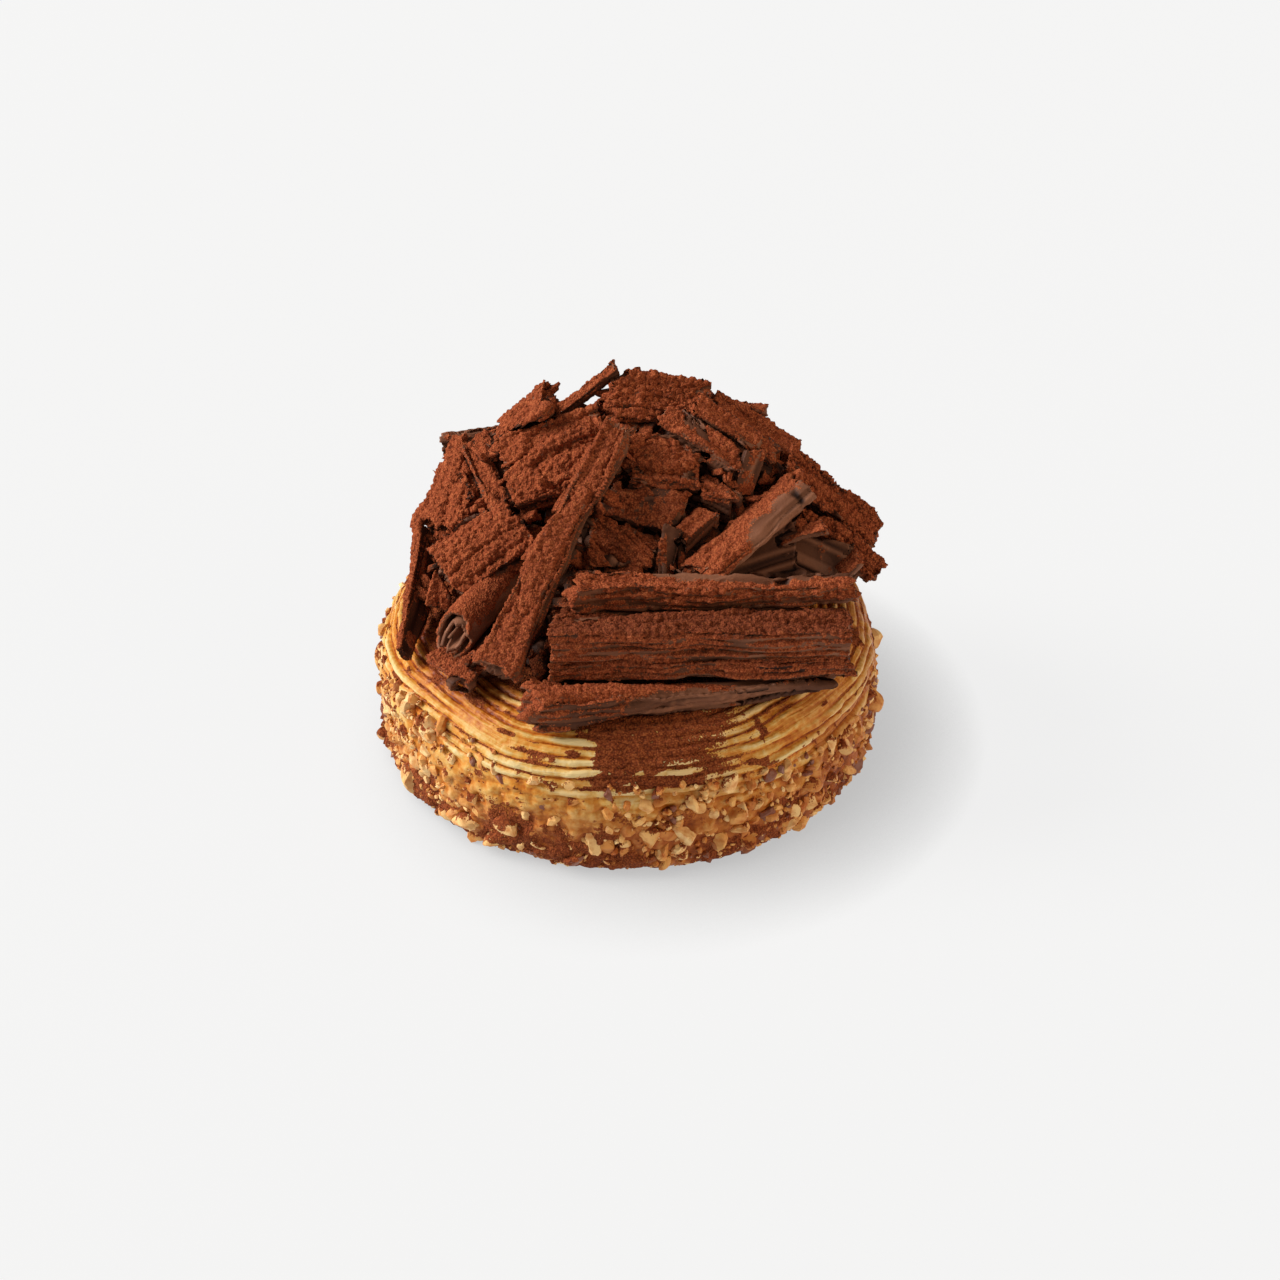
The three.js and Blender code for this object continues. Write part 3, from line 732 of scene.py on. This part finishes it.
def make_quill(material):
    """The rolled piece on the left, dusted outside, bare inside, with painted shade that darkens it further
    in.
    """
    seed = name_seed("quill_left")
    mesh = wound_sheet(seed)
    _, axis, aside, above = quill_axes()
    points = positions(mesh)
    facing = normals(mesh)
    cocoa = dust_cover(points, facing, sky_share(points, facing), 1.0, seed)
    from_mouth = points - QUILL_MOUTH
    sideways = from_mouth @ aside
    upward = from_mouth @ above
    outer = QUILL_TURNS - (QUILL_TURNS - (np.arctan2(upward, sideways) - QUILL_START) / (2 * math.pi)) % 1
    skin = QUILL_RADII[0] + (QUILL_RADII[1] - QUILL_RADII[0]) * outer / QUILL_TURNS
    inner = np.hypot(sideways, upward) < skin - QUILL_SHEET
    cocoa = np.where(inner, 0, cocoa)
    set_positions(mesh, points + facing * (cocoa * 0.3 * granules(points / GRANULE, seed))[:, None])
    tone = 0.85 + 0.3 * noise(points / (3, 3, 0.8), seed + 3)
    # Painted shade: inside the roll, darker the deeper it lies from the mouth.
    hollow = np.where(inner, smooth_step(2.5, 8.0, from_mouth @ axis), 0)
    set_attributes(mesh, cocoa=cocoa, layer=tone, hollow=hollow)
    finish_piece("bark_quill_left", mesh, material, "bark", "quill_left")


def look_in(draw):
    """One look into the heap from a random side: the line of sight and where it starts."""
    ray = Vector(GAP_RAYS[int(draw() * len(GAP_RAYS))]).normalized()
    wide = 2 * LOOK_REACH
    aim = Vector((draw() * wide - LOOK_REACH, draw() * wide - LOOK_REACH, LOOK_FOOT + LOOK_RISE * draw()))
    return ray, aim * MM + ray * 0.2


def core_places(count, draw):
    """Places on the heap's core that show between the large pieces, with the way the core faces there."""
    places = []
    while len(places) < count:
        ray, start = look_in(draw)
        spot, facing, face, _ = SKY_TREE.ray_cast(start, -ray)
        if spot is not None and FACE_OWNERS[face] == "heap_core":
            places.append((np.array(spot) / MM, facing, 2.4 * draw() - 0.2))
    return places


def crevice_places(count, draw):
    """Places inside the crevices between large pieces: deeper than what lies on two opposite sides, and
    dropped below the nearer of them. The bare sheets at the right are left clear."""
    places = []
    while len(places) < count:
        ray, start = look_in(draw)
        aside = ray.orthogonal().normalized() * 3.0 * MM
        around = [Matrix.Rotation(step * math.pi / 3, 3, ray) @ aside for step in range(6)]
        depths = [SKY_TREE.ray_cast(start + offset, -ray)[3] or 1.0 for offset in around]
        rim = min(max(depths[step], depths[step + 3]) for step in range(3))
        depth = SKY_TREE.ray_cast(start, -ray)[3] or 1.0
        spot = np.array(start - ray * (rim + (1.2 + 1.6 * draw()) * MM)) / MM
        in_heap = spot[2] > 36 and spot[1] > -10 and np.linalg.norm(spot - QUILL_MOUTH) > 9
        clear_of_sheets = spot[0] < 12 or spot[1] > 0
        if in_heap and clear_of_sheets and rim < 0.5 and depth - rim > 2.4 * MM:
            places.append((spot, ray, 0.0))
    return places


def taken_apart(shape):
    """The corners and faces of a bmesh, which is freed."""
    corners = np.array([vertex.co for vertex in shape.verts])
    faces = np.array([[vertex.index for vertex in face.verts] for face in shape.faces])
    shape.free()
    return corners, faces


def plate():
    """Corners and faces of a plain plate, two units to each side."""
    shape = bmesh.new()
    bmesh.ops.create_cube(shape, size=2.0)
    bmesh.ops.subdivide_edges(shape, edges=shape.edges[:], cuts=2, use_grid_fill=True)
    shape.verts.index_update()
    return taken_apart(shape)


def broken_plate(corners, draw, share, index):
    """A small ragged plate at the origin, of random size."""
    spans = (FRAGMENT_LENGTH, FRAGMENT_WIDTH, FRAGMENT_THICKNESS)
    sizes = np.array([low + (high - low) * draw() for low, high in spans]) * share
    ragged = 1 + 0.45 * noise(corners * (1.6, 1.6, 0.4) + index * 7.3, 44)
    return corners * sizes / 2 * columns(ragged, ragged, 1.0)


def make_fragments(material):
    """Small broken plates of bark that lie in the gaps between the large pieces."""
    draw = make_random(5)
    corners, faces = plate()
    places = [place + (1.0,) for place in core_places(FRAGMENT_COUNT, draw)]
    places += [place + (SHARD_SHARE,) for place in crevice_places(SHARD_COUNT, draw)]
    for face, spots in DEEP_PLATES.items():
        places += [(np.array(spot), Vector(face), 0.0, DEEP_SHARE) for spot in spots]
    bits = []
    for index, (spot, facing, lift, share) in enumerate(places):
        lean = facing.lerp(Vector((draw() - 0.5, draw() - 0.5, draw() - 0.2)), 0.4).to_track_quat("Z", "Y")
        turn = np.array(lean.to_matrix() @ Matrix.Rotation(draw() * 2 * math.pi, 3, "Z"))
        bit = broken_plate(corners, draw, share, index)
        bits.append(bit @ turn.T + spot + np.array(facing) * lift)
    mesh = joined_mesh("bark_fragments", bits, faces)
    points = positions(mesh)
    rough = columns(*[noise(points / 1.7, seed) for seed in (45, 46, 47)])
    set_positions(mesh, points + 0.5 * rough)
    facing = normals(mesh)
    sky = sky_share(points, facing)
    cocoa = smooth_step(0.1, 0.3, sky + 0.3 * noise(points / 2, 48))
    tone = 0.3 + 0.4 * noise(points / 1.5, 49)
    # Painted shade: fragments are darkened where little reaches them, deep among the large pieces.
    set_attributes(mesh, cocoa=cocoa, layer=tone, hollow=0.6 * smooth_step(0.35, 0.0, sky))
    finish_piece("bark_fragments", mesh, material, "bark")


# Pastry

def outline_steps():
    """Distances along the pastry's outline, from the middle of the base to the middle of the top,
    measured from the foot of the shoulder and close together where the surface shows."""
    base_edge = -WALL_LENGTH - FOOT_ARC
    top_edge = SHOULDER_ARC + (BODY_RADIUS - SHOULDER_ROUNDING - TOP_INNER_RADIUS)
    step = PASTRY_STEP * 1
    base = np.linspace(base_edge - (BODY_RADIUS - BASE_ROUNDING), base_edge, 9)[:-1]
    shown = np.linspace(base_edge, top_edge, int((top_edge - base_edge) / step))
    middle = np.linspace(top_edge, top_edge + TOP_INNER_RADIUS, 6)[1:]
    return np.concatenate([base, shown, middle])


def outline_point(distance):
    """Radius and height on the pastry's smooth outline, and the way it faces there."""
    up = np.clip(distance / SHOULDER_ROUNDING, 0, math.pi / 2)
    down = np.clip((-distance - WALL_LENGTH) / BASE_ROUNDING, 0, math.pi / 2)
    inward = np.maximum(distance - SHOULDER_ARC, 0)
    under = np.maximum(-distance - WALL_LENGTH - FOOT_ARC, 0)
    radius = BODY_RADIUS + SHOULDER_ROUNDING * (np.cos(up) - 1) + BASE_ROUNDING * (np.cos(down) - 1)
    radius = radius - inward - under
    height = PASTRY_HEIGHT - SHOULDER_ROUNDING + SHOULDER_ROUNDING * np.sin(up)
    height = height - np.clip(-distance, 0, WALL_LENGTH) - BASE_ROUNDING * np.sin(down)
    return radius, height, np.cos(up) * np.cos(down), np.sin(up) - np.sin(down)


def uneven_bake(radius, height, angle):
    """The wall a little out of round, and the top a little sunken, as the solid has them."""
    rise = height / PASTRY_HEIGHT
    swell = 0.35 * np.sin(3 * angle + 1) + 0.25 * np.sin(5 * angle - 2 * rise)
    wander = np.where(rise > 0.6, 0.4 * np.sin(7 * angle + 4 * rise), 0)
    wider = radius + np.where(radius > 1, (swell + wander) * np.minimum(rise * 3, 1), 0)
    sag = np.where(height > 1, 0.12 * rise * (np.sin(2 * angle + 0.6) + np.sin(6 * angle) - 2), 0)
    return wider, height + sag


def ridge_relief(distance, place):
    """The edges of the rolled layers: each ring overlaps the next one out, with a steep torn edge.
    Gives the depth in millimetres, how near a rim each point is, and its place across the rings."""
    x, y, _ = place.T
    turn = (distance - RIDGE_START) / RIDGE_PITCH
    turn += 0.6 * noise(columns(x / 17, y / 17, distance / 13), 21)
    turn += 0.14 * noise(columns(x / 3.4, y / 3.4, distance / 4), 29)
    ring = np.floor(turn)
    part = turn - ring
    crest = np.where(part < 0.4, smooth_step(0, 0.26, part), 1 - smooth_step(0.62, 1.1, part))
    torn = noise(columns(x / 2.2, y / 2.2, ring * 3.7), 23)
    strength = np.clip(0.8 + 0.55 * noise(columns(x / 9, y / 9, ring * 3.7), 22) + 0.3 * torn, 0.1, 1.4)
    return RIDGE_DEPTH * (strength * crest - 1), crest * strength, turn


def fold_bands(angle, distance):
    """How far each point lies in one of the pale folds."""
    away = np.full(len(angle), np.inf)
    for middle, height, half_length, half_width in PALE_FOLDS:
        along = (angle - math.radians(middle)) * FOLD_RADIUS / half_length
        away = np.minimum(away, np.hypot(along, (distance - height) / half_width))
    return smooth_step(1.2, 0.6, away)


def pastry_cocoa(place, distance, rim, turn):
    """Cocoa on the pastry: a field under the front of the heap that runs out along the folds, dashes
    and thin threads along the grooves beside it, specks on the shoulder, patches low on the wall, most of
    all at the front, and what fell through under the heap, laid further out at the left and the back
    also as painted shade where the heap shades the top. Places are in millimetres."""
    x, y, z = place.T
    angle = np.arctan2(y, x)
    ragged = noise(place / 1.3, 31)
    streak = noise(columns(x / 7, y / 7, 1.3 * turn), 38)
    left = smooth_step(-8.8, -7.2, x + 1.4 * ragged + 2.6 * streak - 3 * (rim - 0.5))
    right = smooth_step(30, 14, x + 5 * noise(columns(x / 4, y / 4, turn), 32) + 5 * rim)
    low = smooth_step(-1.8, 0.4, distance + 1.6 * ragged)
    bared = 0.9 * rim - 0.96 - 0.07 * (distance - 3) + 0.3 * ragged + 0.3 * streak
    field = left * right * low * (y < 0) * smooth_step(0.15, -0.1, bared)
    dash = noise(columns(angle * 14, turn * 1.3, 0.5), 33) + 0.35 * ragged + 0.25 * noise(place / 14, 36)
    dash = smooth_step(0.32, 0.58, dash - 0.25 * rim) * smooth_step(-3, 2, distance)
    beside = 0.45 * smooth_step(0, -40, x) + 0.2 * smooth_step(15, 35, x)
    thread = noise(columns(angle * 6, np.floor(turn) * 2.7, 0.5), 39) + 0.3 * ragged + beside
    thread = smooth_step(0.28, 0.54, thread) * smooth_step(0.55, 0.2, rim) * smooth_step(-3, 1, distance)
    speck = smooth_step(0.6, 0.72, noise(place / 0.9, 34) + 0.15 * ragged) * smooth_step(6, 0, distance)
    front = 0.5 - 0.5 * np.sin(angle)
    lower = noise(place / 5, 35) + 0.35 * ragged + 0.25 * front + 0.25 * front * smooth_step(12, 3, z)
    lower = smooth_step(0.2, 0.45, lower) * smooth_step(20, 9, z)
    # Partly painted shade: the cocoa under the heap reaches further out at the left and the back, where the
    # heap shades the top.
    inner = 35 + 5 * np.maximum(smooth_step(-20, -34, x) * (y > -22), smooth_step(4, 12, y))
    under = smooth_step(inner + 3, inner, np.hypot(x, y) + 1.5 * ragged) * smooth_step(27, 28.5, z)
    return np.clip(np.maximum.reduce([field, dash, thread, 0.9 * speck, 0.9 * lower, under]), 0, 1)


def pastry_grid():
    """A grid with a column for each direction round the pastry and a row for each step along its
    outline, and each corner's angle and distance."""
    steps = outline_steps()
    count = PASTRY_COLUMNS // 1
    shape = bmesh.new()
    bmesh.ops.create_grid(shape, x_segments=count, y_segments=len(steps) - 1, size=1.0)
    corners = np.array([vertex.co for vertex in shape.verts])
    column = np.rint((corners[:, 0] + 1) / 2 * count) % count
    row = np.rint((corners[:, 1] + 1) / 2 * (len(steps) - 1)).astype(int)
    return shape, column / count * 2 * math.pi, steps[row]


def make_pastry(material):
    """The ring-baked croissant: one grid wrapped round the outline, then given its ridges and crumb."""
    shape, angle, distance = pastry_grid()
    radius, height, out, up = outline_point(distance)
    radius, height = uneven_bake(radius, height, angle)
    place = columns(radius * np.cos(angle), radius * np.sin(angle), height)
    facing = columns(out * np.cos(angle), out * np.sin(angle), up)
    relief, rim, turn = ridge_relief(distance, place)
    band = fold_bands(angle, distance)
    relief = relief * (1 - band) - 0.35 * band
    rim = rim * (1 - band) + 0.56 * band
    torn_edge = 4.5 * smooth_step(0.3, 1.0, np.cos(angle - COAT_HIGHEST)) - 2.0 * noise(place / 4, 30)
    ridged = smooth_step(RIDGE_START - 2, RIDGE_START + 2, distance - torn_edge)
    coat = (1 - ridged) * smooth_step(0.3, 2.5, height)
    crumb = 0.55 * noise(place / 2.6, 24) + 0.65 * granules(place / 2.3, 25)
    crumb += 0.25 * granules(place / 0.9, 26)
    # Painted light: 1 on the left, where the key light falls, and 0 on the right; the coat and the dough are
    # made lighter by it.
    painted_light_left = 0.5 - 0.5 * np.cos(angle)
    front = np.clip(-np.sin(angle), 0, 1)
    coated = np.clip(0.12 + 0.24 * painted_light_left + 0.45 * crumb, 0, 1)
    inner = smooth_step(6, 13, distance)
    # Painted light and shade in the crest tone: crests lighter at the front, which the key light does not
    # reach, and on the left the inner ridges darker amber, partly their glaze and partly painted shade under
    # the heap.
    crest = ridged * (0.02 + 0.31 * front ** 3 + 0.68 * rim - 0.36 * inner * painted_light_left) + (1 - ridged) * coated
    cocoa = pastry_cocoa(place, distance, rim, turn)
    lift = ridged * relief * (1 - 0.45 * cocoa) + coat * (crumb - 0.3)
    lift += cocoa * (0.35 * granules(place / GRANULE, 27) + 0.3 * noise(place / 2.2, 37))
    shaped = (place + facing * lift[:, None]) * MM
    shaped[:, 2] = np.maximum(shaped[:, 2], 0)
    move_corners(shape, shaped)
    # Painted shade: the top is made browner where the heap shades it, and more amber near the heap on the
    # left. Painted light: the baked tone is lighter on the left, where the key light falls.
    shade = smooth_step(0.6, 0.0, sky_share(place, facing)) * smooth_step(24, 27, height)
    bake_and_painted_light = 0.95 * smooth_step(22, 6, height) - 0.45 * painted_light_left + 0.35 * noise(place / 10, 28) + 0.25
    bake_and_painted_light = np.clip(bake_and_painted_light + 0.3 * shade + 0.4 * inner * painted_light_left, 0, 1)
    values = {"crest": crest, "bake_and_painted_light": bake_and_painted_light, "cocoa": cocoa, "sheets": 3.2 * turn, "ridged": ridged}
    for name in values:
        layer = shape.verts.layers.float.new(name)
        for vertex, value in zip(shape.verts, values[name]):
            vertex[layer] = value
    bmesh.ops.remove_doubles(shape, verts=shape.verts, dist=0.002 * MM)
    bmesh.ops.recalc_face_normals(shape, faces=shape.faces)
    finish_piece("pastry_crust", mesh_of("pastry_crust", shape), material, "crust", "pastry")


# Chopped nuts

def turn_matrix(draw):
    """A turn about X, Y and Z in that order, each by up to half a turn."""
    turns = [Matrix.Rotation(draw() * math.pi, 3, axis) for axis in "XYZ"]
    return np.array(turns[2] @ turns[1] @ turns[0])


def wall_place(angle, height, sink):
    """A point on the pastry's wall, sunk in by a little."""
    foot = max(BASE_ROUNDING - height, 0)
    head = max(height - PASTRY_HEIGHT + SHOULDER_ROUNDING, 0)
    radius = BODY_RADIUS - BASE_ROUNDING + math.sqrt(BASE_ROUNDING ** 2 - foot ** 2) - sink
    radius += math.sqrt(SHOULDER_ROUNDING ** 2 - head ** 2) - SHOULDER_ROUNDING
    return np.array([radius * math.cos(angle), radius * math.sin(angle), height])


def chopped(sphere, size, turn, draw):
    """A chopped bit: a ball cut by flat faces all round, then flattened a little."""
    reach = np.full(len(sphere), 1.05)
    for _ in range(9):
        cut = np.array([draw() - 0.5, draw() - 0.5, draw() - 0.5])
        cut /= np.linalg.norm(cut)
        reach = np.minimum(reach, (0.5 + 0.35 * draw()) / np.maximum(sphere @ cut, 0.05))
    return (sphere * reach[:, None] * size * np.array([1.15, 0.95, 0.75])) @ turn.T


def ball(subdivisions):
    """Corners and faces of a unit ball."""
    shape = bmesh.new()
    bmesh.ops.create_icosphere(shape, subdivisions=subdivisions, radius=1.0)
    return taken_apart(shape)


def joined_mesh(name, parts, faces):
    """One mesh of many copies of the same faces, each copy with its own corners."""
    mesh = bpy.data.meshes.new(name)
    count = len(parts[0])
    corners = np.concatenate(parts) * MM
    corners[:, 2] = np.maximum(corners[:, 2], 0)
    indices = np.concatenate([faces + count * index for index in range(len(parts))])
    mesh.from_pydata(corners.tolist(), [], indices.tolist())
    mesh.update()
    return mesh


def make_bits(name, bits, tones, faces, material):
    """Many nut bits as one piece, each with its own tone, made lighter at the left as painted light
    where the key light falls, and with some cocoa on the upper side and more low at the front. Those that
    keep their skin have the lowest tones."""
    mesh = joined_mesh(name, bits, faces)
    points = positions(mesh)
    up = normals(mesh) @ DUST_FROM
    patch = noise(points / 6, 41) + 0.5 * noise(points / 1.2, 42)
    # Painted light: bits on the left, where the key light falls, are made lighter.
    painted_lighter_left = -0.14 * np.array([bit[:, 0].mean() for bit in bits]) / BODY_RADIUS
    tones = np.where(np.array(tones) < SKIN_TONE, tones, tones + painted_lighter_left)
    front_foot = smooth_step(14, 3, points[:, 2]) * np.clip(-points[:, 1] / BODY_RADIUS, 0, 1)
    cocoa = 0.9 * smooth_step(0.27, 0.72, 0.6 * up + 0.8 * patch + 0.35 * front_foot)
    set_attributes(mesh, tone=np.repeat(tones, len(bits[0])), cocoa=cocoa)
    finish_piece(name, mesh, material, "crust")
    mesh.set_sharp_from_angle(angle=math.radians(24))


def make_nuts(material):
    """The chopped nuts that the solid has, at the same places."""
    draw = make_random(7)
    shade = make_random(70)
    sphere, faces = ball(subdivisions=3)
    bits = []
    for index in range(NUT_COUNT):
        size = (LARGE_NUT_RADIUS if index < LARGE_NUT_COUNT else SMALL_NUT_RADIUS) * (0.8 + 0.4 * draw())
        angle = math.radians(index * NEXT_NUT_TURN)
        share = (index * NEXT_NUT_RISE + 0.1 * draw()) % 1
        height = NUT_BAND[0] + (NUT_BAND[1] - NUT_BAND[0]) * share
        bit = chopped(sphere, 1.25 * size, turn_matrix(draw), shade)
        bits.append(bit + wall_place(angle, height, 0.25 * size))
    make_bits("chopped_nuts", bits, [shade() for _ in bits], faces, material)


def make_crumbs(name, count, radii, subdivisions, seed, material):
    """Finer bits of nut scattered between the chopped ones, reaching highest at the front left."""
    draw = make_random(seed)
    sphere, faces = ball(subdivisions)
    bits = []
    for _ in range(count):
        size = radii[0] + (radii[1] - radii[0]) * draw() ** 2
        angle = draw() * 2 * math.pi
        top = CRUMB_BAND[1] + 5.5 * max(math.cos(angle - COAT_HIGHEST), -0.4)
        height = CRUMB_BAND[0] + (top - CRUMB_BAND[0]) * draw() ** 1.1
        bit = chopped(sphere, size, turn_matrix(draw), draw)
        bits.append(bit + wall_place(angle, height, 0.45 * size - 0.4))
    make_bits(name, bits, [draw() for _ in bits], faces, material)


# Studio

def make_floor():
    """A plain pale floor."""
    shape = bmesh.new()
    bmesh.ops.create_grid(shape, x_segments=1, y_segments=1, size=2.0)
    bmesh.ops.translate(shape, verts=shape.verts, vec=(0, 0, -0.05 * MM))
    floor = new_object("floor", mesh_of("floor", shape))
    floor.data.materials.append(floor_material())
    floor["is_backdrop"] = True


def make_camera():
    """The camera of the photograph, looking down at the front."""
    tilt = math.radians(CAMERA_ELEVATION)
    back = Vector((0, -math.cos(tilt), math.sin(tilt)))
    up = Vector((0, math.sin(tilt), math.cos(tilt)))
    camera = new_object("camera", bpy.data.cameras.new("camera"))
    camera.data.lens = CAMERA_LENS
    camera.data.sensor_width = SENSOR_WIDTH
    camera.data.clip_start = 0.01
    camera.location = back * CAMERA_DISTANCE + up * CAMERA_UP + Vector((CAMERA_RIGHT, 0, 0))
    camera.rotation_euler = (math.pi / 2 - tilt, 0, 0)
    bpy.context.scene.camera = camera


def add_sun(name, source, strength, spread, colour):
    """A soft light that comes from one direction."""
    sun = new_object(name, bpy.data.lights.new(name, "SUN"))
    sun.data.energy = strength
    sun.data.angle = math.radians(spread)
    sun.data.color = colour
    sun.rotation_euler = Vector(source).to_track_quat("Z", "Y").to_euler()


def make_lights():
    """A large soft key from the upper left, a weak low fill from the right and an even white surround."""
    add_sun("key", *KEY_SUN)
    add_sun("fill", *FILL_SUN)
    world = bpy.data.worlds.new("studio")
    world.use_nodes = True
    surround = world.node_tree.nodes["Background"]
    surround.inputs["Color"].default_value = linear("#ffffff")
    surround.inputs["Strength"].default_value = SURROUND_STRENGTH
    bpy.context.scene.world = world
    bpy.context.scene.view_settings.view_transform = "Standard"


def write_sizes():
    """Puts the solid's box and the finished model's box side by side, without keeping them anywhere."""
    boxes = {"cad": CAD_BOX, "visual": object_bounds()}
    boxes = {name: [list(corner) for corner in box] for name, box in boxes.items()}


make_camera()
make_lights()
make_floor()
chocolate = bark_material()
for node_name in sorted(NODES):
    if node_name not in ("pastry", "heap_core", "quill_left"):
        make_bark_piece(node_name, chocolate)
make_quill(chocolate)
make_heap_core(chocolate)
make_fragments(chocolate)
make_pastry(crust_material())
nut = nut_material()
make_nuts(nut)
make_crumbs("nut_chips", CHIP_COUNT, CHIP_RADIUS, subdivisions=2, seed=11, material=nut)
make_crumbs("nut_crumbs", CRUMB_COUNT, CRUMB_RADIUS, subdivisions=1, seed=12, material=nut)
write_sizes()
